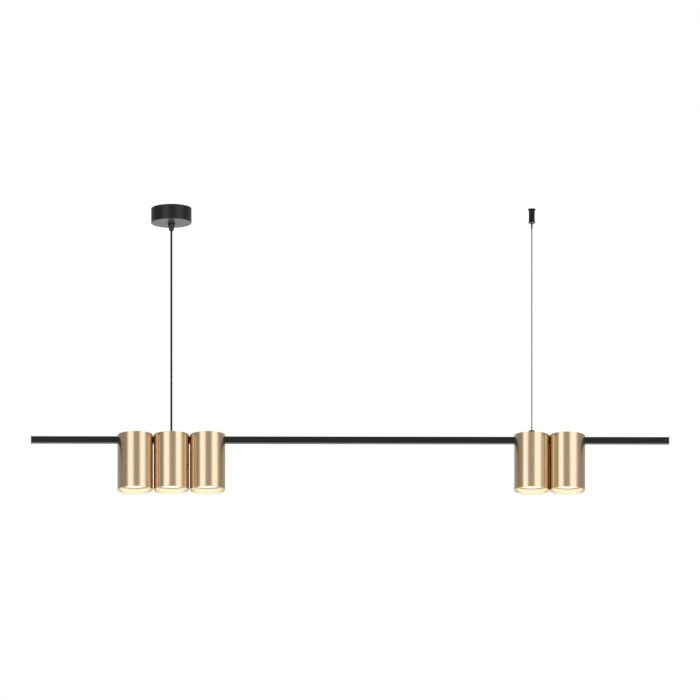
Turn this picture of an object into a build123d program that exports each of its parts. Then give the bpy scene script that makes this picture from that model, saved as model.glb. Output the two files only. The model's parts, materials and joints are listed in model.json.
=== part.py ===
"""Linear island pendant: five open metal shades on one square bar, hung from the ceiling on a mains
cable at one end and a steel wire at the other.

Millimetres. X runs along the bar, +Z is up. The ceiling is the plane Z = 0, and the origin is where
the cable's canopy is centred on it. Each piece is a node of its own, written to parts/NODE.step.
"""

from build123d import *
from math import cos, radians, sin, tan
import os

# ---------------------------------------------------------------- driving dimensions
# where things are
bar_length = 1500.0  # over both end caps
bar_left_overhang = 330.0  # from the cable to the bar's left end
bar_right_overhang = 323.0  # from the suspension wire to the bar's right end
bar_drop = 553.0  # from the ceiling to the bar's top face
left_gap = 1.5  # between neighbours in the group of three, whose middle shade is under the cable
right_gap = 0.1  # between the two shades of the right group, the first of which is under the wire
swing_limit = 12.0  # degrees that the hung part swings to the front or the back
sway_limit = 6.0  # degrees that the cable and the wire lean to the left or the right
bend_drop = 49.0  # from the ceiling to where the cable and the wire bend
bend_gap = 0.05  # between lengths of one cable or wire where it bends
flare_margin = 1.15  # mouths that the cable or the wire leans in, over what the lean needs

# square bar and its end caps
bar_side = 15.0
bar_wall = 1.2
bar_corner = 0.8
cap_head = 1.6
cap_plug_depth = 12.0
cap_plug_wall = 1.4
cap_plug_fit = 0.1

# shades
shade_diameter = 83.5
shade_wall = 1.5
shade_height = 133.0
shade_disc = 2.5  # thickness of the top disc, which lies on the bar
shade_lip = 1.9  # how far the wall stands above that disc
shade_edge = 0.35
window_fit = 0.2
shade_screw_radius = 2.5
shade_screw_head_radius = 4.5
shade_screw_head = 2.8
shade_screw_reach = 2.4  # past the bar's top wall

# lamps: flat twist-lock discs with two headed pins
lamp_recess = 14.0  # from the shade's mouth up to the lamp's face
lamp_room = 2.25  # from the lamp's edge to the shade's inside
lamp_depth = 15.7
lamp_wall = 2.0
lamp_rim = 2.9
lamp_edge = 0.8
lamp_hub_radius = 21.0
lamp_hub_height = 8.5
diffuser_thickness = 2.0
diffuser_fit = 0.1
pin_circle_diameter = 53.0
pin_neck_radius = 1.5
pin_head_radius = 2.5
pin_head_height = 3.0
pin_fit = 0.02
lamp_turn = 15.0  # degrees from locked to released

# lampholders
holder_gap = 0.3  # lamp's back to the holder, and the pin's head to the wall that it hangs on
holder_inset = 0.5  # from the lamp's edge in to the holder's
holder_height = 14.0
holder_opening_radius = 22.0
holder_front_wall = 2.4
holder_top_wall = 3.5
keyhole_fit = 0.5
neck_slot_fit = 0.3
pocket_fit = 1.1
contact_angle = 8.3  # degrees past the locked pin
contact_length = 5.4
contact_width = 2.4
contact_height = 6.0
contact_room = 3.5  # degrees of pocket past the contact's middle

# bridge that holds each lampholder
bridge_height = 31.0
bridge_thickness = 1.5
bridge_width = 14.0
bridge_foot = 10.0
holder_screw_radius = 1.75
holder_screw_head_radius = 3.2
holder_screw_head = 2.2
holder_screw_depth = 8.0
holder_screw_inset = 5.25  # from the holder's edge in to the screw
screw_fit = 0.05
screw_clearance = 0.3

# hollow threaded stem from the bar to the bridge
stem_radius = 5.0
stem_bore_radius = 3.5
stem_past_nut = 1.0
thread_fit = 0.05
boss_radius = 7.2
boss_height = 8.0
nut_flats = 14.0
nut_height = 4.0
nut_crown_angle = 30.0

# what every screw and every cut shares
screw_slot = 0.9
past = 1.0  # how far a cutting tool reaches past the face that it cuts

# mains cable, its grip and the wiring
cable_radius = 2.3
cable_fit = 0.08
cable_in_canopy = 22.0  # from the ceiling to where the sheath ends
core_radius = 0.8
core_offset = 1.2
loom_offset = 2.2
loom_below_stem = 4.5
loom_bend = 5.0
loom_hole_fit = 0.3
loom_above_holder = 7.0

# canopy
canopy_diameter = 95.0
canopy_height = 35.0
canopy_wall = 1.2
canopy_edge = 1.2
bracket_width = 18.0
bracket_thickness = 1.5
bracket_fit = 0.6
bracket_ear = 13.0
bracket_inlet_radius = 8.0
bracket_slot_spacing = 50.0
bracket_slot_radius = 2.2
bracket_slot_length = 12.0
canopy_screw_radius = 2.0
canopy_screw_length = 6.0
canopy_screw_drop = 8.0
block_length = 16.0
block_width = 17.0
block_height = 12.0
block_edge = 0.8
block_start = 19.0  # from the cable to the terminal block's middle
block_pole_pitch = 8.0
block_bore_radius = 1.7
block_screw_radius = 1.5
block_screw_depth = 4.0
block_screw_seat = 0.8
core_rise = 9.0
core_lead_in = 5.0
core_bend = 3.5
core_in_block = 4.0

# cord grip under the canopy
grip_thread_radius = 5.0
grip_thread_length = 8.0
grip_flange_radius = 8.6
grip_flange_height = 6.0
grip_tip_radius = 5.2
grip_cap_height = 12.2
grip_rib_count = 12
grip_rib_depth = 0.5
grip_edge = 0.6

# cable entry and wire anchor on top of their shades
entry_radius = 6.5
entry_height = 9.0
entry_edge = 1.5
entry_thread_radius = 5.0
entry_reach = 0.9  # past the bar's top wall
lower_bend_depth = 2.5  # from the entry's mouth down to where the cable bends
cable_in_bar = 1.5  # past the entry's thread
anchor_radius = 6.8
anchor_above_shade = 12.5
anchor_dome = 1.0
anchor_thread_radius = 4.0
anchor_reach = 1.4
wire_radius = 1.2
wire_fit = 0.1
crimp_fit = 0.02
stop_radius = 1.9
stop_length = 5.0
stop_fit = 0.25

# ceiling gripper for the wire
gripper_flange_radius = 9.1
gripper_flange_height = 2.5
gripper_edge = 0.7
gripper_boss_radius = 4.9
gripper_boss_length = 8.0
gripper_screw_radius = 2.2
gripper_screw_head_radius = 3.7
gripper_length = 34.5
gripper_top_radius = 7.1
gripper_waist_radius = 6.8
gripper_foot_radius = 8.2
gripper_foot = 3.0
gripper_foot_chamfer = 1.6
gripper_joint_gap = 0.1
gripper_bore_radius = 4.0
gripper_cone_end_radius = 3.2
gripper_floor = 4.5
sleeve_radius = 1.9
sleeve_tip_radius = 1.6
sleeve_tip_length = 9.0
sleeve_head_radius = 2.95
sleeve_head_length = 8.0
sleeve_seat_gap = 0.3
sleeve_travel = 2.5  # how far the sleeve is pushed up to free the wire
sleeve_fit = 0.08
ball_radius = 1.2
ball_fit = 0.05
ball_count = 3
ball_below_head = 2.6
spring_wire_radius = 0.28
spring_radius = 2.55
spring_turns = 5.5
spring_gap = 0.3
ferrule_radius = 1.7
ferrule_length = 5.0
ferrule_drop = 8.5

# ---------------------------------------------------------------- levels and places worked out
bar_top = -bar_drop
bar_bottom = bar_top - bar_side
bar_middle = bar_top - bar_side / 2
bar_inside_top = bar_top - bar_wall
shade_radius = shade_diameter / 2
shade_inside = shade_radius - shade_wall
disc_top = bar_top + shade_disc
shade_top = disc_top + shade_lip
shade_bottom = shade_top - shade_height
lamp_face = shade_bottom + lamp_recess
lamp_back = lamp_face + lamp_depth
lamp_radius = shade_inside - lamp_room
diffuser_radius = lamp_radius - lamp_rim
holder_bottom = lamp_back + holder_gap
holder_top = holder_bottom + holder_height
holder_radius = lamp_radius - holder_inset
pin_circle = pin_circle_diameter / 2
pocket_floor = holder_bottom + holder_front_wall
pocket_top = holder_top - holder_top_wall
pocket_half_width = pin_head_radius + pocket_fit
pin_head_bottom = pocket_floor + holder_gap
contact_top = pocket_floor + contact_height
web_top = holder_top + bridge_height
web_bottom = web_top - bridge_thickness
foot_top = holder_top + bridge_thickness
holder_screw_y = holder_radius - holder_screw_inset
bridge_half_span = holder_screw_y - (bridge_foot + bridge_thickness) / 2
stem_bottom = web_bottom - nut_height - stem_past_nut
canopy_radius = canopy_diameter / 2
canopy_inside = canopy_radius - canopy_wall
canopy_bottom = -canopy_height
bracket_half = canopy_inside - bracket_fit
flange_bottom = canopy_bottom - grip_flange_height
grip_bottom = flange_bottom - grip_cap_height
upper_bend = -bend_drop
lower_bend = disc_top + entry_height - lower_bend_depth
anchor_top = shade_top + anchor_above_shade
gripper_bottom = -gripper_length
cavity_floor = gripper_bottom + gripper_floor
sleeve_head_bottom = cavity_floor + sleeve_seat_gap
sleeve_head_top = sleeve_head_bottom + sleeve_head_length
boss_end = -gripper_flange_height - gripper_boss_length
sleeve_mouth = upper_bend
right_end = bar_length - bar_left_overhang
wire_x = right_end - bar_right_overhang
left_pitch = shade_diameter + left_gap
right_pitch = shade_diameter + right_gap

shade_places = (-left_pitch, 0.0, left_pitch, wire_x, wire_x + right_pitch)
cable_shade = shade_places.index(0.0)
wire_shade = shade_places.index(wire_x)
plain_shades = [n for n in range(len(shade_places)) if n not in (cable_shade, wire_shade)]


# ---------------------------------------------------------------- small helpers
def rod(radius, low, high, x=0.0, y=0.0):
    """An upright cylinder between two levels."""
    return Pos(x, y, (low + high) / 2) * Cylinder(radius, high - low)


def tube(outer, inner, low, high, x=0.0, y=0.0):
    return rod(outer, low, high, x, y) - rod(inner, low, high, x, y)


def block(length, width, low, high, x=0.0, y=0.0):
    return Pos(x, y, (low + high) / 2) * Box(length, width, high - low)


def cone(low_radius, high_radius, low, high, x=0.0, y=0.0):
    return Pos(x, y, (low + high) / 2) * Cone(low_radius, high_radius, high - low)


def hex_nut(flats, bore, low, high, x=0.0, y=0.0):
    """A nut whose lower corners are turned away at the crown angle."""
    inscribed = flats / 2
    corner = inscribed / cos(radians(30))
    crown = low + (corner - inscribed) * tan(radians(nut_crown_angle))
    outline = Plane.XY.offset(low) * RegularPolygon(inscribed, 6, major_radius=False)
    body = extrude(outline, high - low)
    body &= cone(inscribed, corner, low, crown) + rod(corner, crown, high)
    return Pos(x, y, 0) * (body - rod(bore, low - past, high + past))


def turned(points):
    """A solid of revolution about Z from (radius, level) points in order."""
    outline = Polyline([(radius, 0, level) for radius, level in points], close=True)
    return revolve(make_face(outline), Axis.Z)


def pan_screw(radius, low, seat, head_radius, head, x=0.0, y=0.0):
    """A screw pointing down: its shank from low to seat, then a rounded head with a slot."""
    top = seat + head
    cap = rod(head_radius, seat, top)
    cap = fillet(cap.edges().group_by(Axis.Z)[-1], head / 2)
    slot = block(2 * (head_radius + past), screw_slot, top - head / 2, top + past)
    return Pos(x, y, 0) * (cap + rod(radius, low, seat) - slot)


def wire_along(points, radius, bends):
    """A round wire along straight runs joined by arcs."""
    path = FilletPolyline(*points, radius=bends)
    start = Plane(origin=path @ 0, z_dir=path % 0)
    return sweep(start * Circle(radius), path=path)


def write(name, *shapes):
    """Write one node, with each of its solids apart."""
    solids = [Solid(solid.wrapped) for shape in shapes for solid in shape.solids()]
    export_step(Compound(children=solids), f"parts/{name}.step")


# ---------------------------------------------------------------- ceiling end of the cable
def make_bracket():
    """Steel strap on the ceiling, with an ear at each end for the canopy's screws."""
    strap = block(2 * bracket_half, bracket_width, -bracket_thickness, 0)
    round_ends = rod(bracket_half, -bracket_ear, 0)
    ears = [
        block(
            bracket_thickness,
            bracket_width,
            -bracket_ear,
            0,
            side * (bracket_half - bracket_thickness / 2 - ear_inset()),
        )
        for side in (-1, 1)
    ]
    shape = (strap & round_ends) + ears[0] + ears[1]
    shape -= rod(bracket_inlet_radius, -bracket_thickness - past, past)
    straight = bracket_slot_length - 2 * bracket_slot_radius
    for side in (-1, 1):
        slot = Plane.XY.offset(-bracket_thickness - past) * (
            Pos(side * bracket_slot_spacing / 2, 0)
            * SlotCenterToCenter(straight, 2 * bracket_slot_radius)
        )
        shape -= extrude(slot, bracket_thickness + 2 * past)
    thread = Pos(0, 0, -canopy_screw_drop) * (
        Rot(0, 90, 0) * Cylinder(canopy_screw_radius + thread_fit, canopy_diameter)
    )
    return shape - thread


def ear_inset():
    """How far a flat ear stands in, so that its corners clear the round canopy."""
    return bracket_half - (bracket_half**2 - (bracket_width / 2) ** 2) ** 0.5


def make_canopy():
    """Round cup over the connections, open to the ceiling."""
    cup = rod(canopy_radius, canopy_bottom, 0)
    cup = fillet(cup.edges().group_by(Axis.Z)[0], canopy_edge)
    cup -= rod(canopy_inside, canopy_bottom + canopy_wall, 1)
    cup -= rod(grip_thread_radius + screw_fit, canopy_bottom - past, 0)
    screws = Pos(0, 0, -canopy_screw_drop) * (
        Rot(0, 90, 0) * Cylinder(canopy_screw_radius + thread_fit, canopy_diameter + 2 * past)
    )
    return cup - screws


def make_canopy_screws():
    """Two grub screws, flush with the canopy's wall and threaded through the bracket's ears."""
    flush = (canopy_radius**2 - canopy_screw_radius**2) ** 0.5
    made = []
    for side in (-1, 1):
        middle = side * (flush - canopy_screw_length / 2)
        body = Pos(middle, 0, -canopy_screw_drop) * (
            Rot(0, 90, 0) * Cylinder(canopy_screw_radius, canopy_screw_length)
        )
        slot_depth = canopy_screw_radius / 2
        slot = Pos(side * flush, 0, -canopy_screw_drop) * Box(
            2 * slot_depth, 3 * canopy_screw_radius, canopy_screw_radius / 3
        )
        made.append(body - slot)
    return made


def pole_places():
    return [side * block_pole_pitch / 2 for side in (-1, 1)]


def clamp_places():
    return [block_start + side * block_length / 4 for side in (-1, 1)]


def block_bore_level():
    return -bracket_thickness - block_height / 2


def make_terminal_block():
    """Two-pole screw terminal block under the bracket; its bores run along X."""
    top = -bracket_thickness
    level = block_bore_level()
    body = block(block_length, block_width, top - block_height, top, block_start)
    body = chamfer(body.edges().filter_by(Axis.Z), block_edge)
    for y in pole_places():
        bore = Rot(0, 90, 0) * Cylinder(block_bore_radius, block_length + 2 * past)
        body -= Pos(block_start, y, level) * bore
        for x in clamp_places():
            body -= rod(block_screw_radius + screw_fit, top - block_height - past, level, x, y)
    return body


def make_terminal_screws():
    low = -bracket_thickness - block_height + block_screw_seat
    slot_width = block_screw_radius / 3
    made = []
    for y in pole_places():
        for x in clamp_places():
            screw = rod(block_screw_radius, low, low + block_screw_depth, x, y)
            slot = block(3 * block_screw_radius, slot_width, low - past, low + slot_width, x, y)
            made.append(screw - slot)
    return made


def make_ceiling_cores():
    """The two cores, from the end of the sheath into the terminal block."""
    level = block_bore_level()
    face = block_start - block_length / 2
    made = []
    for side, pole in zip((-1, 1), pole_places()):
        points = [
            (0, side * core_offset, -cable_in_canopy),
            (0, side * core_offset, -cable_in_canopy + core_rise),
            (face - core_lead_in, pole, level),
            (face + core_in_block, pole, level),
        ]
        made.append(wire_along(points, core_radius, core_bend))
    return made


def make_cable_head():
    """The still length of cable in the grip and the canopy."""
    return rod(cable_radius, upper_bend + cable_radius + bend_gap, -cable_in_canopy)


def make_grip_locknut():
    low = canopy_bottom + canopy_wall
    return hex_nut(nut_flats, grip_thread_radius + thread_fit, low, low + nut_height)


def make_grip_body():
    """Threaded spigot through the canopy's floor, and the ribbed collar under it."""
    collar = rod(grip_flange_radius, flange_bottom, canopy_bottom)
    collar = chamfer(collar.edges().group_by(Axis.Z)[0], grip_edge)
    groove = rod(grip_rib_depth, flange_bottom - past, canopy_bottom - grip_edge, grip_flange_radius)
    for n in range(grip_rib_count):
        collar -= Rot(0, 0, 360 / grip_rib_count * n) * groove
    spigot = rod(grip_thread_radius, canopy_bottom, canopy_bottom + grip_thread_length)
    return collar + spigot - rod(cable_radius + cable_fit, flange_bottom - past, 0)


def flare(radius, fit, length, lean):
    """Radius of a mouth that a cable or a wire leans in, at a height above or below its bend."""
    return radius + fit + bend_gap + length * tan(radians(lean)) * flare_margin


def make_grip_cap():
    """Tapered clamping cap; its bore flares below the cable's bend."""
    shape = cone(grip_tip_radius, grip_flange_radius - 2 * grip_edge, grip_bottom, flange_bottom)
    shape = fillet(shape.edges().group_by(Axis.Z)[0], grip_edge)
    bore = cable_radius + cable_fit
    mouth = flare(cable_radius, cable_fit, upper_bend - grip_bottom, swing_limit + sway_limit)
    shape -= rod(bore, upper_bend, flange_bottom + past)
    return shape - cone(mouth, bore, grip_bottom, upper_bend)


# ---------------------------------------------------------------- hung lengths of cable and wire
def hung_length(radius, x):
    """A straight length between the bends: hollow at the upper one and rounded at the lower one."""
    length = rod(radius, lower_bend, upper_bend, x) + Pos(x, 0, lower_bend) * Sphere(radius)
    return length - Pos(x, 0, upper_bend) * Sphere(radius + bend_gap)


def make_hanger_bends():
    """Where the cable and the wire flex at the ceiling: a ball as thick as each of them."""
    return [
        Pos(0, 0, upper_bend) * Sphere(cable_radius),
        Pos(wire_x, 0, upper_bend) * Sphere(wire_radius),
    ]


def make_cable_foot():
    """The still length of cable in its entry, down to where its cores come out in the bar."""
    return rod(cable_radius, cable_end_level(), lower_bend - cable_radius - bend_gap)


def cable_end_level():
    return bar_inside_top - entry_reach - cable_in_bar


# ---------------------------------------------------------------- ceiling gripper
def make_gripper_anchor():
    """Flange and threaded boss, screwed to the ceiling through the middle."""
    flange = rod(gripper_flange_radius, -gripper_flange_height, 0, wire_x)
    flange = chamfer(flange.edges().group_by(Axis.Z)[0], gripper_edge)
    boss = rod(gripper_boss_radius, boss_end, -gripper_flange_height, wire_x)
    shape = flange + boss
    shape -= rod(gripper_screw_radius, boss_end - past, past, wire_x)
    return shape - rod(gripper_screw_head_radius, boss_end - past, -gripper_flange_height, wire_x)


def make_gripper_body():
    """Waisted shell on the boss, with the cone that wedges the balls against the wire."""
    top = -gripper_flange_height - gripper_joint_gap
    waist = (top + gripper_bottom) / 2
    foot = gripper_bottom + gripper_foot
    bore = gripper_boss_radius + thread_fit
    step = boss_end - gripper_joint_gap
    cone_start = ball_level() + sleeve_travel + ball_radius
    outline = [
        (bore, top),
        (gripper_top_radius, top),
        (gripper_waist_radius, waist),
        (gripper_top_radius, foot),
        (gripper_foot_radius, foot - gripper_edge),
        (gripper_foot_radius, gripper_bottom + gripper_foot_chamfer),
        (gripper_foot_radius - gripper_foot_chamfer, gripper_bottom),
        (sleeve_radius + sleeve_fit, gripper_bottom),
        (sleeve_radius + sleeve_fit, cavity_floor),
        (gripper_cone_end_radius, cavity_floor),
        (gripper_bore_radius, cone_start),
        (gripper_bore_radius, step),
        (bore, step),
    ]
    return Pos(wire_x, 0, 0) * turned(outline)


def ball_level():
    return sleeve_head_top - ball_below_head


def ball_ring():
    """How far each ball's centre is from the wire's."""
    return wire_radius + ball_radius + ball_fit


def ball_angles():
    return [360 / ball_count * n for n in range(ball_count)]


def make_gripper_sleeve():
    """Release sleeve: pushed up, it lifts the balls out of the cone and frees the wire."""
    tip_start = sleeve_mouth + sleeve_tip_length
    shape = turned(
        [
            (wire_radius + wire_fit, sleeve_mouth),
            (sleeve_tip_radius, sleeve_mouth),
            (sleeve_radius, tip_start),
            (sleeve_radius, sleeve_head_bottom),
            (sleeve_head_radius, sleeve_head_bottom),
            (sleeve_head_radius, sleeve_head_top),
            (wire_radius + wire_fit, sleeve_head_top),
        ]
    )
    for angle in ball_angles():
        window = Rot(0, 0, angle) * (
            Pos(ball_ring(), 0, ball_level())
            * (Rot(0, 90, 0) * Cylinder(ball_radius + ball_fit, 2 * ball_radius))
        )
        shape -= window
    return Pos(wire_x, 0, 0) * shape


def make_gripper_balls():
    return [
        Pos(
            wire_x + ball_ring() * cos(radians(angle)),
            ball_ring() * sin(radians(angle)),
            ball_level(),
        )
        * Sphere(ball_radius)
        for angle in ball_angles()
    ]


def make_gripper_spring():
    """Compression spring between the boss and the sleeve's head."""
    low = sleeve_head_top + spring_gap + spring_wire_radius
    high = boss_end - spring_gap - spring_wire_radius
    helix = Helix(pitch=(high - low) / spring_turns, height=high - low, radius=spring_radius)
    start = Plane(origin=helix @ 0, z_dir=helix % 0)
    coil = sweep(start * Circle(spring_wire_radius), path=helix, is_frenet=True)
    return Pos(wire_x, 0, low) * coil


def crimped(low, high, stop_low, stop_high, radius):
    """A still end of the wire, and the sleeve that is crimped on it."""
    end = rod(wire_radius, low, high, wire_x)
    stop = tube(radius, wire_radius + crimp_fit, stop_low, stop_high, wire_x)
    rims = stop.edges().filter_by(GeomType.CIRCLE).group_by(SortBy.RADIUS)[-1]
    return [end, chamfer(rims, (radius - wire_radius) / 3)]


def make_wire_head():
    """The still length of wire in the gripper, with a ferrule on its upper end."""
    low = upper_bend + wire_radius + bend_gap
    high = -ferrule_drop
    return crimped(low, high, high - ferrule_length, high, ferrule_radius)


# ---------------------------------------------------------------- bar
def make_bar():
    """Square tube with its holes: top ones for the fixings, bottom ones for the wiring."""
    left = -bar_left_overhang + cap_head
    right = right_end - cap_head
    outer = Pos((left + right) / 2, 0, bar_middle) * Box(right - left, bar_side, bar_side)
    outer = fillet(outer.edges().filter_by(Axis.X), bar_corner)
    inner_side = bar_side - 2 * bar_wall
    shape = outer - Pos((left + right) / 2, 0, bar_middle) * Box(bar_length, inner_side, inner_side)
    for n, x in enumerate(shade_places):
        if n == cable_shade:
            top_hole = entry_thread_radius + thread_fit
        elif n == wire_shade:
            top_hole = anchor_thread_radius + thread_fit
        else:
            top_hole = shade_screw_radius + thread_fit
        shape -= rod(top_hole, bar_inside_top - past, bar_top + past, x)
        shape -= rod(stem_bore_radius, bar_bottom - past, bar_bottom + bar_wall + past, x)
    return shape


def make_end_cap(side):
    """Plastic plug: a flat head over the bar's end and a hollow shank inside it."""
    end = right_end if side > 0 else -bar_left_overhang
    head = Pos(end - side * cap_head / 2, 0, bar_middle) * Box(cap_head, bar_side, bar_side)
    head = fillet(head.edges().filter_by(Axis.X), bar_corner)
    shank_side = bar_side - 2 * bar_wall - 2 * cap_plug_fit
    at = end - side * (cap_head + cap_plug_depth / 2)
    shank = Pos(at, 0, bar_middle) * Box(cap_plug_depth, shank_side, shank_side)
    hollow_side = shank_side - 2 * cap_plug_wall
    return head + (shank - Pos(at, 0, bar_middle) * Box(cap_plug_depth, hollow_side, hollow_side))


# ---------------------------------------------------------------- shades and what holds them
def make_shade(n):
    """Tube with a top disc, and two windows that the bar passes through."""
    x = shade_places[n]
    wall = tube(shade_radius, shade_inside, shade_bottom, shade_top)
    wall = chamfer(wall.edges().filter_by(GeomType.CIRCLE), shade_edge)
    disc = rod(shade_inside, bar_top, disc_top)
    window = bar_side + 2 * window_fit
    windows = Pos(0, 0, bar_top - window / 2) * Box(shade_diameter + 2 * past, window, window)
    if n == cable_shade:
        hole = entry_thread_radius + screw_fit
    elif n == wire_shade:
        hole = anchor_thread_radius + screw_fit
    else:
        hole = shade_screw_radius + screw_clearance
    return Pos(x, 0, 0) * (wall + disc - windows - rod(hole, bar_top - past, disc_top + past))


def make_shade_screws():
    low = bar_inside_top - shade_screw_reach
    return [
        pan_screw(
            shade_screw_radius,
            low,
            disc_top,
            shade_screw_head_radius,
            shade_screw_head,
            shade_places[n],
        )
        for n in plain_shades
    ]


def make_cable_entry():
    """Strain relief that clamps the middle shade to the bar and lets the cable in."""
    top = disc_top + entry_height
    low = bar_inside_top - entry_reach
    collar = rod(entry_radius, disc_top, top)
    collar = chamfer(collar.edges().group_by(Axis.Z)[-1], entry_edge)
    bore = cable_radius + cable_fit
    mouth = flare(cable_radius, cable_fit, lower_bend_depth, sway_limit)
    shape = collar + rod(entry_thread_radius, low, disc_top) - rod(bore, low, top)
    return shape - cone(bore, mouth, lower_bend, top)


def make_wire_anchor():
    """Round nut that clamps its shade to the bar and holds the wire's end stop."""
    low = bar_inside_top - anchor_reach
    mouth = flare(wire_radius, wire_fit, anchor_top - lower_bend, sway_limit)
    shape = turned(
        [
            (wire_radius + wire_fit, low),
            (anchor_thread_radius, low),
            (anchor_thread_radius, disc_top),
            (anchor_radius, disc_top),
            (anchor_radius, anchor_top - anchor_dome),
            (anchor_radius - anchor_dome, anchor_top - anchor_dome / 4),
            (mouth, anchor_top),
            (wire_radius + wire_fit, lower_bend),
        ]
    )
    return Pos(wire_x, 0, 0) * (shape - rod(stop_radius + stop_fit, low, disc_top))


def make_wire_foot():
    """The still length of wire in the anchor, with the stop on its lower end."""
    high = disc_top - stop_fit
    low = high - stop_length
    return crimped(low, lower_bend - wire_radius - bend_gap, low, high, stop_radius)


def make_stem_bosses():
    return [
        tube(boss_radius, stem_radius + thread_fit, bar_bottom - boss_height, bar_bottom, x)
        for x in shade_places
    ]


def make_stems():
    return [tube(stem_radius, stem_bore_radius, stem_bottom, bar_bottom, x) for x in shade_places]


def make_stem_nuts():
    bore = stem_radius + thread_fit
    made = []
    for x in shade_places:
        made.append(hex_nut(nut_flats, bore, web_top, web_top + nut_height, x))
        made.append(hex_nut(nut_flats, bore, web_bottom - nut_height, web_bottom, x))
    return made


def make_holder_bridges():
    """Bent straps: a web held between the nuts, two legs, and a foot on each side of the holder."""
    made = []
    for x in shade_places:
        outer = 2 * (bridge_half_span + bridge_thickness)
        shape = block(bridge_width, outer, web_bottom, web_top)
        for side in (-1, 1):
            leg = side * (bridge_half_span + bridge_thickness / 2)
            foot = side * (bridge_half_span + bridge_foot / 2)
            shape += block(bridge_width, bridge_thickness, holder_top, web_top, 0, leg)
            shape += block(bridge_width, bridge_foot, holder_top, foot_top, 0, foot)
            hole = holder_screw_radius + screw_clearance
            shape -= rod(hole, holder_top - past, foot_top + past, 0, side * holder_screw_y)
        shape -= rod(stem_radius + screw_clearance, web_bottom - past, web_top + past)
        made.append(Pos(x, 0, 0) * shape)
    return made


def make_holder_screws():
    return [
        pan_screw(
            holder_screw_radius,
            holder_top - holder_screw_depth,
            foot_top,
            holder_screw_head_radius,
            holder_screw_head,
            x,
            side * holder_screw_y,
        )
        for x in shade_places
        for side in (-1, 1)
    ]


# ---------------------------------------------------------------- lampholder and lamp
def on_pin_circle(angle):
    return pin_circle * cos(radians(angle)), pin_circle * sin(radians(angle))


def ring_sector(half_width, low, high, from_angle, to_angle):
    """Part of a ring on the pins' circle, between two angles, with square ends."""
    ring = tube(pin_circle + half_width, pin_circle - half_width, low, high)
    reach = 2 * pin_circle
    middle = (from_angle + to_angle) / 2
    half = (to_angle - from_angle) / 2
    corner = [
        (0, 0),
        (reach, -reach * tan(radians(half))),
        (reach, reach * tan(radians(half))),
    ]
    wedge = extrude(Plane.XY.offset(low) * make_face(Polyline(corner, close=True)), high - low)
    return ring & (Rot(0, 0, middle) * wedge)


def head_angle():
    """Half the angle that a pin's head and its clearance take up on the pins' circle."""
    return (pin_head_radius + pocket_fit) / radians(1) / pin_circle


def make_lampholder(n):
    """Ring with two keyholes, a pocket behind each for the pin's head, and screw and wire holes."""
    shape = tube(holder_radius, holder_opening_radius, holder_bottom, holder_top)
    shape = chamfer(shape.edges().filter_by(GeomType.CIRCLE).group_by(Axis.Z)[0], lamp_edge)
    pocket = ring_sector(
        pocket_half_width,
        pocket_floor,
        pocket_top,
        -lamp_turn - head_angle(),
        contact_angle + contact_room,
    )
    neck_gap = pin_neck_radius + neck_slot_fit
    slot = ring_sector(neck_gap, holder_bottom - past, pocket_floor + past, -lamp_turn, 0)
    entry_x, entry_y = on_pin_circle(-lamp_turn)
    locked_x, locked_y = on_pin_circle(0)
    wire_x_at, wire_y_at = on_pin_circle(contact_angle)
    cut = (
        pocket
        + slot
        + rod(pin_head_radius + keyhole_fit, holder_bottom - past, pocket_floor + past, entry_x, entry_y)
        + rod(neck_gap, holder_bottom - past, pocket_floor + past, locked_x, locked_y)
        + rod(core_radius + loom_hole_fit, pocket_top - past, holder_top + past, wire_x_at, wire_y_at)
    )
    for turn in (0, 180):
        shape -= Rot(0, 0, turn) * cut
    for side in (-1, 1):
        depth = holder_top - holder_screw_depth
        shape -= rod(holder_screw_radius + screw_fit, depth, holder_top + past, 0, side * holder_screw_y)
    return Pos(shade_places[n], 0, 0) * shape


def make_holder_contacts():
    made = []
    for x in shade_places:
        for turn in (0, 180):
            contact = block(
                contact_length, contact_width, pocket_floor, contact_top, pin_circle
            )
            made.append(Pos(x, 0, 0) * (Rot(0, 0, contact_angle + turn) * contact))
    return made


def make_lamp_body(n):
    """White housing: a shallow cup behind the diffuser, with a hub that fills the holder's opening."""
    inner = diffuser_radius + diffuser_fit
    seat = lamp_face + diffuser_thickness
    shape = turned(
        [
            (0, lamp_back + lamp_hub_height),
            (lamp_hub_radius, lamp_back + lamp_hub_height),
            (lamp_hub_radius, lamp_back),
            (lamp_radius, lamp_back),
            (lamp_radius, lamp_face + lamp_edge),
            (lamp_radius - lamp_edge, lamp_face),
            (inner, lamp_face),
            (inner, seat),
            (inner - lamp_wall, seat),
            (inner - lamp_wall, lamp_back - lamp_wall),
            (lamp_hub_radius - lamp_wall, lamp_back - lamp_wall),
            (lamp_hub_radius - lamp_wall, lamp_back + lamp_hub_height - lamp_wall),
            (0, lamp_back + lamp_hub_height - lamp_wall),
        ]
    )
    for turn in (0, 180):
        x, y = on_pin_circle(turn)
        shape -= rod(pin_neck_radius + pin_fit, lamp_back - lamp_wall, lamp_back + past, x, y)
    return Pos(shade_places[n], 0, 0) * shape


def make_lamp_diffuser(n):
    disc = rod(diffuser_radius, lamp_face, lamp_face + diffuser_thickness, shade_places[n])
    return fillet(disc.edges().group_by(Axis.Z)[0], diffuser_thickness / 4)


def make_lamp_pins(n):
    made = []
    for turn in (0, 180):
        x, y = on_pin_circle(turn)
        pin = turned(
            [
                (0, lamp_back - lamp_wall),
                (pin_neck_radius, lamp_back - lamp_wall),
                (pin_neck_radius, pin_head_bottom),
                (pin_head_radius, pin_head_bottom),
                (pin_head_radius, pin_head_bottom + pin_head_height * 0.8),
                (pin_head_radius * 0.8, pin_head_bottom + pin_head_height),
                (0, pin_head_bottom + pin_head_height),
            ]
        )
        made.append(Pos(shade_places[n] + x, y, 0) * pin)
    return made


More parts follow.
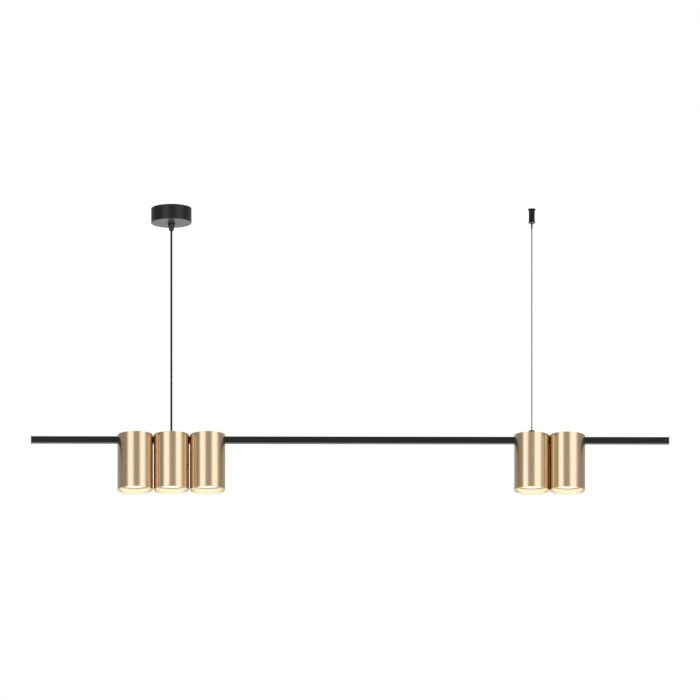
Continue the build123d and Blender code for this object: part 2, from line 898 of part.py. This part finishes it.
def make_loom(side):
    """One conductor: a run along the bar, and a branch down each stem to the lampholder."""
    y = side * loom_offset
    first, last = shade_places[0], shade_places[-1]
    middle = (first + last) / 2
    run = Pos(middle, y, bar_middle) * (Rot(0, 90, 0) * Cylinder(core_radius, last - first))
    shape = run + rod(core_radius, bar_middle, cable_end_level(), 0, side * core_offset)
    contact_x, contact_y = on_pin_circle(contact_angle)
    turn_level = stem_bottom - loom_below_stem
    for x in shade_places:
        branch = wire_along(
            [
                (x, y, bar_middle),
                (x, y, turn_level),
                (x + side * contact_x, side * contact_y, holder_top + loom_above_holder),
                (x + side * contact_x, side * contact_y, contact_top),
            ],
            core_radius,
            loom_bend,
        )
        shape += branch
    for x in (first, last):
        shape += Pos(x, y, bar_middle) * Sphere(core_radius)
    return shape


# ---------------------------------------------------------------- write every node
def main():
    os.makedirs("parts", exist_ok=True)
    write("ceiling_bracket", make_bracket())
    write("canopy", make_canopy())
    write("canopy_screws", *make_canopy_screws())
    write("terminal_block", make_terminal_block())
    write("terminal_screws", *make_terminal_screws())
    write("ceiling_cores", *make_ceiling_cores())
    write("cable_head", make_cable_head())
    write("cord_grip_locknut", make_grip_locknut())
    write("cord_grip_body", make_grip_body())
    write("cord_grip_cap", make_grip_cap())
    write("hanger_bends", *make_hanger_bends())
    write("power_cable", hung_length(cable_radius, 0))
    write("suspension_wire", hung_length(wire_radius, wire_x))
    write("gripper_anchor", make_gripper_anchor())
    write("gripper_body", make_gripper_body())
    write("gripper_sleeve", make_gripper_sleeve())
    write("gripper_balls", *make_gripper_balls())
    write("gripper_spring", make_gripper_spring())
    write("wire_head", *make_wire_head())
    write("bar", make_bar())
    write("bar_end_caps", make_end_cap(-1), make_end_cap(1))
    write("cable_entry", make_cable_entry())
    write("cable_foot", make_cable_foot())
    write("wire_anchor", make_wire_anchor())
    write("wire_foot", *make_wire_foot())
    write("shade_screws", *make_shade_screws())
    write("stem_bosses", *make_stem_bosses())
    write("stems", *make_stems())
    write("stem_nuts", *make_stem_nuts())
    write("holder_bridges", *make_holder_bridges())
    write("holder_screws", *make_holder_screws())
    write("holder_contacts", *make_holder_contacts())
    write("loom_live", make_loom(1))
    write("loom_neutral", make_loom(-1))
    for n in range(len(shade_places)):
        write(f"shade_{n + 1}", make_shade(n))
        write(f"lampholder_{n + 1}", make_lampholder(n))
        write(f"lamp_body_{n + 1}", make_lamp_body(n))
        write(f"lamp_diffuser_{n + 1}", make_lamp_diffuser(n))
        write(f"lamp_pins_{n + 1}", *make_lamp_pins(n))


main()
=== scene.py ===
import json
import math

import bmesh
import bpy
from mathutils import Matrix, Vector


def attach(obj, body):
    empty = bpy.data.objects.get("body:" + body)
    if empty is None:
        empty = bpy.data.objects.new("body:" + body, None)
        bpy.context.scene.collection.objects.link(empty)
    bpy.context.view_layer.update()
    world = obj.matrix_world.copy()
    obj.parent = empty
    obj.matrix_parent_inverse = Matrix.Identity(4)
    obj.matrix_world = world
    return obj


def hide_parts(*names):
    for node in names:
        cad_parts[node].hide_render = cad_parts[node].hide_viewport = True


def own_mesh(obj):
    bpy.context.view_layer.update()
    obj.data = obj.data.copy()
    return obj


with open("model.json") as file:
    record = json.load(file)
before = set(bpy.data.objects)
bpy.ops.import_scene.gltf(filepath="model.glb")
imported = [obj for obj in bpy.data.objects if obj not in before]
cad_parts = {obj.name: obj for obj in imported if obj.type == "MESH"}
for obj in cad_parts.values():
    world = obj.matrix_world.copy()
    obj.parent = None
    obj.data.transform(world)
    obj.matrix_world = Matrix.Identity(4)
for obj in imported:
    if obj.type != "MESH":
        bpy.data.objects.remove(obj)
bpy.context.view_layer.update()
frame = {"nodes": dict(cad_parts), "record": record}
nodes = frame["nodes"]
mm = 0.001
print("frame loaded:", len(nodes), "nodes")


def link(thing):
    bpy.context.scene.collection.objects.link(thing)


# camera: looks up at the light from below, without perspective
cameraSet = {
    "photoPixels": 700,
    "mmPerPixel": 2.35,
    "belowLevel": 14.0,  # degrees
    "distance": 4.0,
    "farEnd": 60.0,
    "middleX": 0.4198,  # what lies at the middle of the photo
    "middleZ": -0.3416,
    "turned": 0.35,  # degrees to the right
}


def makeCamera():
    s = cameraSet
    tip = math.radians(s["belowLevel"])
    data = bpy.data.cameras.new("photoCamera")
    data.type = "ORTHO"
    data.ortho_scale = s["photoPixels"] * s["mmPerPixel"] * mm
    data.clip_end = s["farEnd"]
    camera = bpy.data.objects.new("photoCamera", data)
    turn = math.radians(s["turned"])
    ahead = Vector((math.sin(turn), math.cos(turn), math.tan(tip))).normalized()
    camera.location = Vector((s["middleX"], 0, s["middleZ"])) - ahead * s["distance"]
    camera.rotation_euler = (math.radians(90) + tip, 0, -turn)
    link(camera)
    bpy.context.scene.camera = camera
    print("camera made")


makeCamera()


# the two lines that carry the light, each straight from bend to bend
lineLevels = [-0.0495, -0.25, -0.40, -0.5440]
wireX = 0.847  # the cable hangs at 0

cableSet = {
    "route": [(0, 0, z) for z in lineLevels],
    "diameter": 4.6 * mm,
    "roundness": 10,  # how finely its section is rounded
}

wireSet = {
    "route": [(wireX, 0, z) for z in lineLevels],
    "diameter": 2.4 * mm,
    "roundness": 1,
    "strands": 6,
    "twist": 14.0 * mm,  # one turn of a strand
    "pointsPerTurn": 12,
}

# the gripper's spring, drawn at rest; on the gripper it shortens as its sleeve is pushed up
springSet = {
    "middle": (wireX, 0),
    "bottom": -21.12 * mm,
    "top": -11.08 * mm,
    "seat": -10.8 * mm,  # the end that stays still
    "radius": 2.55 * mm,
    "wireRadius": 0.28 * mm,
    "roundness": 2,
    "turns": 5.5,
    "pointsPerTurn": 24,
    "pushed": 0.75,  # what is left of its height
}


def newCurve(name, radius=0, roundness=0):
    data = bpy.data.curves.new(name, "CURVE")
    data.dimensions = "3D"
    data.bevel_depth = radius
    data.bevel_resolution = roundness
    data.use_fill_caps = True
    return data


def addSpline(data, places, kind="POLY"):
    spline = data.splines.new(kind)
    spline.points.add(len(places) - 1)
    for point, place in zip(spline.points, places):
        point.co = (*place, 1)
    return spline


def routeCurve(route, data):
    spline = addSpline(data, route, "NURBS")
    spline.order_u = 3
    spline.use_endpoint_u = True
    data.resolution_u = 8
    return bpy.data.objects.new(data.name, data)


def routePoints(route):
    bare = routeCurve(route, newCurve("bareRoute"))
    line = bpy.data.meshes.new_from_object(bare)
    points = [v.co.copy() for v in line.vertices]
    bpy.data.objects.remove(bare)
    bpy.data.meshes.remove(line)
    return points


def meshFrom(curve, name):
    piece = bpy.data.objects.new(name, bpy.data.meshes.new_from_object(curve))
    piece.data.shade_smooth()
    bpy.data.objects.remove(curve)
    return piece


def keepPiece(piece, body, slot, *replaced):
    link(piece)
    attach(piece, body)
    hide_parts(*replaced)


def makeCable():
    s = cableSet
    sheath = routeCurve(s["route"], newCurve("sheath", s["diameter"] / 2, s["roundness"]))
    cable = meshFrom(sheath, "pendantCable")
    keepPiece(cable, "cable", "black_sheath", "power_cable")
    length = s["route"][0][2] - s["route"][-1][2]
    routePoints(s["route"])
    return cable


def makeWire():
    # strands laid round a core, each following a helix about the route
    s = wireSet
    line = routePoints(s["route"])
    strand = s["diameter"] / 6  # its radius, with three across the wire
    data = newCurve("strands", strand, s["roundness"])
    length = line[0].z - line[-1].z
    count = int(length / s["twist"] * s["pointsPerTurn"])
    addSpline(data, [line[0], line[-1]])
    for n in range(s["strands"]):
        helix = []
        for i in range(count + 1):
            along = i / count
            turn = math.tau * (n / s["strands"] + along * length / s["twist"])
            centre = line[0].lerp(line[-1], along)
            helix.append(centre + Vector((math.cos(turn), math.sin(turn), 0)) * 2 * strand)
        addSpline(data, helix)
    wire = meshFrom(bpy.data.objects.new("strands", data), "suspensionRope")
    keepPiece(wire, "wire", "wire_steel", "suspension_wire")
    return wire


def makeSpring():
    s = springSet
    x, y = s["middle"]
    data = newCurve("coil", s["wireRadius"], s["roundness"])
    count = int(s["turns"] * s["pointsPerTurn"])
    coil = []
    for i in range(count + 1):
        turn = math.tau * s["turns"] * i / count
        side = Vector((math.cos(turn), math.sin(turn), 0)) * s["radius"]
        z = s["bottom"] + (s["top"] - s["bottom"]) * i / count
        coil.append((x + side.x, y + side.y, z))
    addSpline(data, coil)
    spring = meshFrom(bpy.data.objects.new("coil", data), "gripperCoil")
    keepPiece(spring, "ceiling_fittings", "screw_steel", "gripper_spring")
    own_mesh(spring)
    return spring


cable = makeCable()
wire = makeWire()
spring = makeSpring()
print("cable, wire and spring made")


# a number or colour on its way through a shader: the operators add Math nodes
class Flow:
    def __init__(self, graph, socket):
        self.graph = graph
        self.socket = socket

    def maths(self, operation, *values):
        inputs = dict(enumerate(values))
        return self.graph.add("Math", {"operation": operation}, inputs)

    def __add__(self, other):
        return self.maths("ADD", self, other)

    def __radd__(self, other):
        return self.maths("ADD", other, self)

    def __sub__(self, other):
        return self.maths("SUBTRACT", self, other)

    def __rsub__(self, other):
        return self.maths("SUBTRACT", other, self)

    def __mul__(self, other):
        return self.maths("MULTIPLY", self, other)

    def __rmul__(self, other):
        return self.maths("MULTIPLY", other, self)

    def __truediv__(self, other):
        return self.maths("DIVIDE", self, other)

    def __rtruediv__(self, other):
        return self.maths("DIVIDE", other, self)

    def __pow__(self, other):
        return self.maths("POWER", self, other)

    def __rpow__(self, other):
        return self.maths("POWER", other, self)


# the nodes of a material or of the world
class Graph:
    def __init__(self, owner):
        owner.use_nodes = True
        self.tree = owner.node_tree
        self.tree.nodes.clear()

    def add(self, kind, settings=None, inputs=None, output=0):
        node = self.tree.nodes.new("ShaderNode" + kind)
        for key, value in (settings or {}).items():
            if key == "stops":
                self.setStops(node.color_ramp, value)
            else:
                setattr(node, key, value)
        for key, value in (inputs or {}).items():
            if isinstance(value, Flow):
                self.tree.links.new(value.socket, node.inputs[key])
            else:
                node.inputs[key].default_value = value
        if node.outputs:
            return Flow(self, node.outputs[output])

    def setStops(self, ramp, stops):
        while len(ramp.elements) > 1:
            ramp.elements.remove(ramp.elements[-1])
        for n, (place, paint) in enumerate(stops):
            element = ramp.elements[0] if n == 0 else ramp.elements.new(place)
            element.position = place
            element.color = (*paint, 1)

    def place(self, scale=(1, 1, 1), centre=(0, 0, 0)):
        coordinates = self.add("TexCoord", output="Object")
        moved = self.add("VectorMath", {"operation": "SUBTRACT"}, {0: coordinates, 1: centre})
        return self.add("VectorMath", {"operation": "MULTIPLY"}, {0: moved, 1: scale})

    def axis(self, n, vector):
        return self.add("SeparateXYZ", inputs={"Vector": vector}, output=n)

    def awayFrom(self, x, y):
        # how far a point is from this upright line
        flat = self.place(scale=(1, 1, 0), centre=(x, y, 0))
        return self.add("VectorMath", {"operation": "LENGTH"}, {0: flat}, output=1)

    def between(self, low, high):
        # 1 between these two heights
        z = self.axis(2, self.place())
        return z.maths("GREATER_THAN", z, low) * z.maths("LESS_THAN", z, high)

    def rise(self, value, low, high):
        # from 0 at the low value to 1 at the high one
        inputs = {"Value": value, "From Min": low, "From Max": high}
        return self.add("MapRange", {"clamp": True}, inputs)

    def noise(self, scale, detail=2):
        # the scale is in spots across a metre
        inputs = {"Scale": scale, "Detail": detail, "Vector": self.place()}
        return self.add("TexNoise", inputs=inputs)

    def marks(self, vector):
        # noise on a vector that is already stretched
        return self.add("TexNoise", inputs={"Scale": 1.0, "Detail": 2, "Vector": vector})

    def mix(self, factor, first, second):
        inputs = {0: factor, 6: first, 7: second}
        return self.add("Mix", {"data_type": "RGBA"}, inputs, output=2)

    def bump(self, height, strength, distance):
        inputs = {"Height": height, "Strength": strength, "Distance": distance}
        return self.add("Bump", inputs=inputs)

    def surface(self, **sockets):
        names = {key.replace("_", " "): value for key, value in sockets.items()}
        shader = self.add("BsdfPrincipled", inputs=names)
        self.add("OutputMaterial", inputs={"Surface": shader})


def material(name):
    made = bpy.data.materials.new(name)
    return made, Graph(made)


def colour(red, green, blue):
    return (red, green, blue, 1)


def darker(tint, share):
    return colour(*(share * c for c in tint[:3]))


# finishes: scales and lines count across a metre, and each bump is its strength and its depth
brassSet = {
    "tint": colour(0.74, 0.565, 0.37),
    "deepTint": colour(0.68, 0.5, 0.31),
    "deepShare": 0.45,
    "clouds": 9.0,
    "roughness": 0.16,
    "lineRoughness": 0.05,
    "cloudRoughness": 0.03,
    "anisotropy": 0.45,
    "brushLines": 5200,
    "lineBreaks": 24,
    "bump": (0.06, 0.1 * mm),
    "shadeAxes": [-0.085, 0, 0.085, wireX, 0.9306],
    # inside the shades: painted light, a paler tint standing in for the lamps' glow on the
    # brass, and a satin roughness
    "insideGlowTint": colour(0.98, 0.915, 0.735),
    "insideRoughness": 0.3,
    "insideRadius": 40.9 * mm,
    "insideHeights": (-1, -552 * mm),  # up into the thickness of the shades' discs
}


def nearestShade(g):
    # how far a point is from the nearest shade's middle
    nearest = None
    for x in brassSet["shadeAxes"]:
        away = g.awayFrom(x, 0)
        nearest = away.maths("MINIMUM", nearest, away) if nearest else away
    return nearest


def brushedBrass():
    s = brassSet
    made, g = material("brushedBrass")
    cloud = g.noise(s["clouds"])
    nearest = nearestShade(g)
    place = g.place()
    x, y, z = [g.axis(n, place) for n in range(3)]
    # the brush goes round the walls, and in rings on the flat tops
    around = {
        "X": nearest * s["brushLines"],
        "Y": z * s["brushLines"],
        "Z": (x + y) * s["lineBreaks"],
    }
    lines = g.marks(g.add("CombineXYZ", inputs=around))
    # inside the shades, under their discs: painted light, where the brass is tinted paler for
    # the lamps' glow
    inside = nearest.maths("LESS_THAN", nearest, s["insideRadius"])
    inside = inside * g.between(*s["insideHeights"])
    tint = g.mix(cloud * s["deepShare"], s["tint"], s["deepTint"])
    rough = s["roughness"] + lines * s["lineRoughness"] + cloud * s["cloudRoughness"]
    g.surface(
        Base_Color=g.mix(inside, tint, s["insideGlowTint"]),
        Metallic=1.0,
        Roughness=rough + inside * (s["insideRoughness"] - s["roughness"]),
        Anisotropic=s["anisotropy"],
        Normal=g.bump(lines, *s["bump"]),
    )
    return made


paintSet = {
    "tint": colour(0.008, 0.008, 0.0083),
    "wornTint": colour(0.013, 0.013, 0.0135),
    "wornShare": 0.5,
    "clouds": 14,
    "roughness": 0.3,
    "cloudRoughness": 0.06,
    "ior": 1.38,
    "grain": 2600,
    "bump": (0.12, 0.2 * mm),
    # the canopy's underside, hazed by the wall's light
    "undersideTint": colour(0.07, 0.07, 0.07),
    "undersideHeights": (-36.7 * mm, -34.7 * mm),
}


def blackPaint():
    s = paintSet
    made, g = material("blackPaint")
    grain = g.noise(s["grain"])
    cloud = g.noise(s["clouds"])
    shade = g.mix(cloud * s["wornShare"], s["tint"], s["wornTint"])
    under = g.between(*s["undersideHeights"])
    g.surface(
        Base_Color=g.mix(under, shade, s["undersideTint"]),
        Roughness=s["roughness"] + cloud * s["cloudRoughness"],
        IOR=s["ior"],
        Normal=g.bump(grain, *s["bump"]),
    )
    return made


# the anodised small fittings on the wire, deeper than the paint
satinSet = {
    "tint": colour(0.002, 0.002, 0.002),
    "wornTint": colour(0.005, 0.005, 0.0052),
    "clouds": 80,
    "turning": (500, 500, 4200),
    "roughness": 0.3,
    "turnedRoughness": 0.08,
    "ior": 1.3,
    "bump": (0.06, 0.1 * mm),
    # painted highlight: the gripper's foot is tinted paler for the light caught on its
    # underside, round its dark nozzle
    "footHighlightTint": colour(0.15, 0.15, 0.15),
    "footHeights": (-36 * mm, -32.8 * mm),
    "nozzleRadius": 3 * mm,
}


def blackSatin():
    s = satinSet
    made, g = material("blackSatin")
    turned = g.marks(g.place(scale=s["turning"]))
    cloud = g.noise(s["clouds"])
    shade = g.mix(cloud, s["tint"], s["wornTint"])
    away = g.awayFrom(wireX, 0)
    outside = away.maths("GREATER_THAN", away, s["nozzleRadius"])
    # painted highlight on the foot's underside, outside the nozzle
    foot = g.between(*s["footHeights"]) * outside
    g.surface(
        Base_Color=g.mix(foot, shade, s["footHighlightTint"]),
        Roughness=s["roughness"] + turned * s["turnedRoughness"],
        IOR=s["ior"],
        Normal=g.bump(turned, *s["bump"]),
    )
    return made


mouldedSet = {
    "tint": colour(0.018, 0.018, 0.018),
    "wornTint": colour(0.03, 0.03, 0.03),
    "clouds": 60,
    "roughness": 0.42,
    "cloudRoughness": 0.1,
    "grain": 3200,
    "grainDetail": 3,
    "bump": (0.15, 0.2 * mm),
}


def blackPlastic():
    s = mouldedSet
    made, g = material("blackPlastic")
    grain = g.noise(s["grain"], s["grainDetail"])
    cloud = g.noise(s["clouds"])
    g.surface(
        Base_Color=g.mix(cloud, s["tint"], s["wornTint"]),
        Roughness=s["roughness"] + cloud * s["cloudRoughness"],
        Normal=g.bump(grain, *s["bump"]),
    )
    return made


sheathSet = {
    "tint": colour(0.004, 0.004, 0.004),
    "wornTint": colour(0.01, 0.01, 0.0105),
    "marks": (900, 900, 60),  # drawn out along the cable
    "roughness": 0.55,
    "markRoughness": 0.12,
    "ior": 1.22,
    "bump": (0.1, 0.2 * mm),
}


def cableSheath():
    s = sheathSet
    made, g = material("cableSheath")
    marks = g.marks(g.place(scale=s["marks"]))
    g.surface(
        Base_Color=g.mix(marks, s["tint"], s["wornTint"]),
        Roughness=s["roughness"] + marks * s["markRoughness"],
        IOR=s["ior"],
        Normal=g.bump(marks, *s["bump"]),
    )
    return made


steelSet = {
    "turning": (700, 700, 3500),
    "clouds": 90,
    "darkest": 0.8,  # of the tint
    "turnedRoughness": 0.08,
    "bump": (0.08, 0.2 * mm),
}


def steel(name, tint, roughness):
    s = steelSet
    made, g = material(name)
    turned = g.marks(g.place(scale=s["turning"]))
    cloud = g.noise(s["clouds"])
    g.surface(
        Base_Color=g.mix(cloud, tint, darker(tint, s["darkest"])),
        Metallic=1.0,
        Roughness=roughness + turned * s["turnedRoughness"],
        Normal=g.bump(turned, *s["bump"]),
    )
    return made


plasticSet = {
    "grain": 2200,
    "clouds": 40,
    "darkest": 0.9,  # of the tint
    "cloudRoughness": 0.06,
    "bump": (0.05, 0.2 * mm),
}


def plastic(name, tint, roughness):
    s = plasticSet
    made, g = material(name)
    grain = g.noise(s["grain"])
    cloud = g.noise(s["clouds"])
    g.surface(
        Base_Color=g.mix(cloud, tint, darker(tint, s["darkest"])),
        Roughness=roughness + cloud * s["cloudRoughness"],
        Normal=g.bump(grain, *s["bump"]),
    )
    return made


diffuserSet = {
    "tint": colour(0.62, 0.6, 0.56),
    "middleGlow": colour(1.0, 0.92, 0.76),
    "edgeGlow": colour(1.0, 0.8, 0.54),
    "strength": 0.74,
    "radius": 34.6 * mm,
    "edgePower": 5,  # how late the glow turns to the edge's
    "clouds": 30,
    "cloudShare": 0.2,
    "roughness": 0.4,
    "cloudRoughness": 0.05,
    "ripples": 900,  # pressed rings
    "bump": (0.25, 0.2 * mm),
}


def opalDiffuser():
    s = diffuserSet
    made, g = material("opalDiffuser")
    out = nearestShade(g)
    cloud = g.noise(s["clouds"])
    edge = (out / s["radius"]) ** s["edgePower"]
    rings = out.maths("SINE", out * (s["ripples"] * math.tau))
    g.surface(
        Base_Color=s["tint"],
        Roughness=s["roughness"] + cloud * s["cloudRoughness"],
        Emission_Color=g.mix(edge + cloud * s["cloudShare"], s["middleGlow"], s["edgeGlow"]),
        Emission_Strength=s["strength"],
        Normal=g.bump(rings, *s["bump"]),
    )
    return made


finishes = {
    "black_paint": blackPaint(),
    "black_satin": blackSatin(),
    "black_screw": steel("blackScrew", colour(0.05, 0.05, 0.05), 0.35),
    "black_plastic": blackPlastic(),
    "black_sheath": cableSheath(),
    "wire_steel": steel("wireSteel", colour(0.04, 0.04, 0.042), 0.36),
    "brushed_brass": brushedBrass(),
    "zinc_plated_steel": steel("zincPlate", colour(0.62, 0.64, 0.66), 0.3),
    "screw_steel": steel("screwSteel", colour(0.6, 0.6, 0.6), 0.25),
    "contact_brass": steel("contactBrass", colour(0.8, 0.62, 0.32), 0.2),
    "white_plastic": plastic("whitePlastic", colour(0.82, 0.82, 0.79), 0.4),
    "core_brown": plastic("coreBrown", colour(0.16, 0.06, 0.025), 0.4),
    "core_blue": plastic("coreBlue", colour(0.03, 0.12, 0.45), 0.4),
    "lamp_housing": plastic("lampHousing", colour(0.86, 0.86, 0.84), 0.25),
    "opal_diffuser": opalDiffuser(),
}
print("finishes made:", len(finishes))


def dressNodes():
    for part in frame["record"]["subparts"]:
        mesh = nodes[part["node"]].data
        mesh.materials.clear()
        mesh.materials.append(finishes[part["material_slot"]])
    cable.data.materials.append(finishes["black_sheath"])
    wire.data.materials.append(finishes["wire_steel"])
    spring.data.materials.append(finishes["screw_steel"])
    print("nodes dressed")


dressNodes()


# studio: a ring of painted wall that only reflections see, and soft light from three sides
studioSet = {
    "middle": (0.42, 0.0),
    "radius": 4.0,
    "floor": -2.7,
}

wallSet = {
    "top": 5.0,
    "steps": 120,
    "brightTint": (1.0, 1.04, 1.13),  # the brightest paint is a little cooler
    "tintPower": 3,  # how soon that tint goes as the paint gets darker
    # degrees from the front, towards the right, and how bright the wall is painted there
    "paint": [
        (-180, 1.1),
        (-166, 1.0),
        (-160, 0.46),
        (-153, 0.44),
        (-148, 0.5),
        (-130, 0.5),
        (-122, 0.34),
        (-56, 0.33),
        (-52, 1.56),
        (-22, 1.56),
        (-17, 0.43),
        (21, 0.43),
        (27, 1.56),
        (56, 1.56),
        (74, 0.42),
        (116, 0.34),
        (126, 0.46),
        (148, 0.44),
        (153, 0.42),
        (160, 0.46),
        (166, 1.0),
        (180, 1.1),
    ],
}


def ringPoint(degrees, z):
    # 0 degrees is the front, towards the camera, and 90 is to the right
    a = math.radians(degrees)
    x, y = studioSet["middle"]
    radius = studioSet["radius"]
    return Vector((x + radius * math.sin(a), y - radius * math.cos(a), z))


def wallPaint():
    s = wallSet
    made, g = material("wallPaint")
    place = g.place(centre=(*studioSet["middle"], 0))
    x, y = [g.axis(n, place) for n in (0, 1)]
    angle = x.maths("ARCTAN2", x, y * -1)
    brightest = max(level for _, level in s["paint"])
    strength = brightest * max(s["brightTint"])
    stops = []
    for degrees, level in s["paint"]:
        cool = (level / brightest) ** s["tintPower"]
        paint = [level / strength * (1 + cool * (c - 1)) for c in s["brightTint"]]
        stops.append(((degrees + 180) / 360, paint))
    bands = g.add("ValToRGB", {"stops": stops}, {"Fac": angle / math.tau + 0.5})
    light = g.add("Emission", inputs={"Color": bands, "Strength": strength})
    g.add("OutputMaterial", inputs={"Surface": light})
    return made


def makeWall():
    s = wallSet
    mesh = bpy.data.meshes.new("wall")
    bm = bmesh.new()
    foot = ringPoint(0, studioSet["floor"])
    ends = [bm.verts.new(foot), bm.verts.new((foot.x, foot.y, s["top"]))]
    line = bm.edges.new(ends)
    bmesh.ops.spin(
        bm,
        geom=[*ends, line],
        cent=(*studioSet["middle"], 0),
        axis=(0, 0, 1),
        angle=math.tau,
        steps=s["steps"],
        use_merge=True,
    )
    bm.to_mesh(mesh)
    bm.free()
    mesh.materials.append(wallPaint())
    wall = bpy.data.objects.new("wall", mesh)
    link(wall)
    for ray in ("camera", "diffuse", "transmission", "volume_scatter", "shadow"):
        setattr(wall, "visible_" + ray, False)


softLampSet = {
    "width": 2.4,
    "height": 4.5,
    "level": 0.3,
    "aim": -0.4,  # the height that they point at
    # each one's name, degrees from the front and height
    "lamps": [
        ("lampLeft", -38, 0.9),
        ("lampRight", 42, 0.9),
        ("lampBack", 170, 1.4),
    ],
}


def makeSoftLamps():
    s = softLampSet
    for name, angle, z in s["lamps"]:
        data = bpy.data.lights.new(name, "AREA")
        data.shape = "RECTANGLE"
        data.size = s["width"]
        data.size_y = s["height"]
        data.energy = s["level"] * math.pi * data.size * data.size_y
        lamp = bpy.data.objects.new(name, data)
        lamp.location = ringPoint(angle, z)
        inward = Vector((*studioSet["middle"], s["aim"])) - lamp.location
        lamp.rotation_euler = inward.to_track_quat("-Z", "Y").to_euler()
        lamp.visible_camera = False
        lamp.visible_glossy = False
        link(lamp)


def seenRays(g):
    # 1 for what the camera sees, itself or in metal and glass
    kinds = ("Is Camera Ray", "Is Glossy Ray", "Is Transmission Ray")
    rays = [g.add("LightPath", output=kind) for kind in kinds]
    return rays[0] + rays[1] + rays[2]


floorSet = {
    "radius": 14,
    "sides": 64,
    "tint": colour(0.9, 0.9, 0.9),
    "roughness": 0.7,
    "whiteness": 0.35,  # how far it is faded under the light
    "fade": (2.0, 9.0),  # and from where to where it fades the rest of the way
}


def floorPaint():
    # pale, and fading into the white background far from the light
    s = floorSet
    made, g = material("floorPaint")
    fade = g.rise(g.awayFrom(*studioSet["middle"]), *s["fade"])
    inputs = {"Base Color": s["tint"], "Roughness": s["roughness"]}
    paint = g.add("BsdfPrincipled", inputs=inputs)
    white = g.add("Emission", inputs={"Color": colour(1, 1, 1), "Strength": 1.0})
    blend = s["whiteness"] + fade * (1 - s["whiteness"])
    mixed = g.add("MixShader", inputs={0: blend * seenRays(g), 1: paint, 2: white})
    g.add("OutputMaterial", inputs={"Surface": mixed})
    return made


def makeFloor():
    s = floorSet
    mesh = bpy.data.meshes.new("floor")
    bm = bmesh.new()
    bmesh.ops.create_circle(bm, cap_ends=True, segments=s["sides"], radius=s["radius"])
    bmesh.ops.translate(bm, verts=bm.verts, vec=(*studioSet["middle"], studioSet["floor"]))
    bm.to_mesh(mesh)
    bm.free()
    floor = bpy.data.objects.new("floor", mesh)
    mesh.materials.append(floorPaint())
    link(floor)


worldSet = {
    "level": 0.85,  # how brightly it lights things, while what is seen of it is white
    "ceiling": (0.75, 1.0),  # how far up the darker ceiling starts, and where it is darkest
    "ceilingShade": 0.4,  # how much darker metal sees it there
}


def makeWorld():
    s = worldSet
    world = bpy.data.worlds.new("studio")
    bpy.context.scene.world = world
    g = Graph(world)
    level = s["level"] + seenRays(g) * (1 - s["level"])
    up = g.axis(2, g.add("TexCoord", output="Generated"))
    ceiling = g.rise(up, *s["ceiling"])
    level = level - ceiling * g.add("LightPath", output="Is Glossy Ray") * s["ceilingShade"]
    back = g.add("Background", inputs={"Color": colour(1, 1, 1), "Strength": level})
    g.add("OutputWorld", inputs={"Surface": back})


def makeStudio():
    makeWall()
    makeSoftLamps()
    makeFloor()
    makeWorld()
    print("studio made")


makeStudio()
bpy.context.scene.view_settings.view_transform = "Standard"
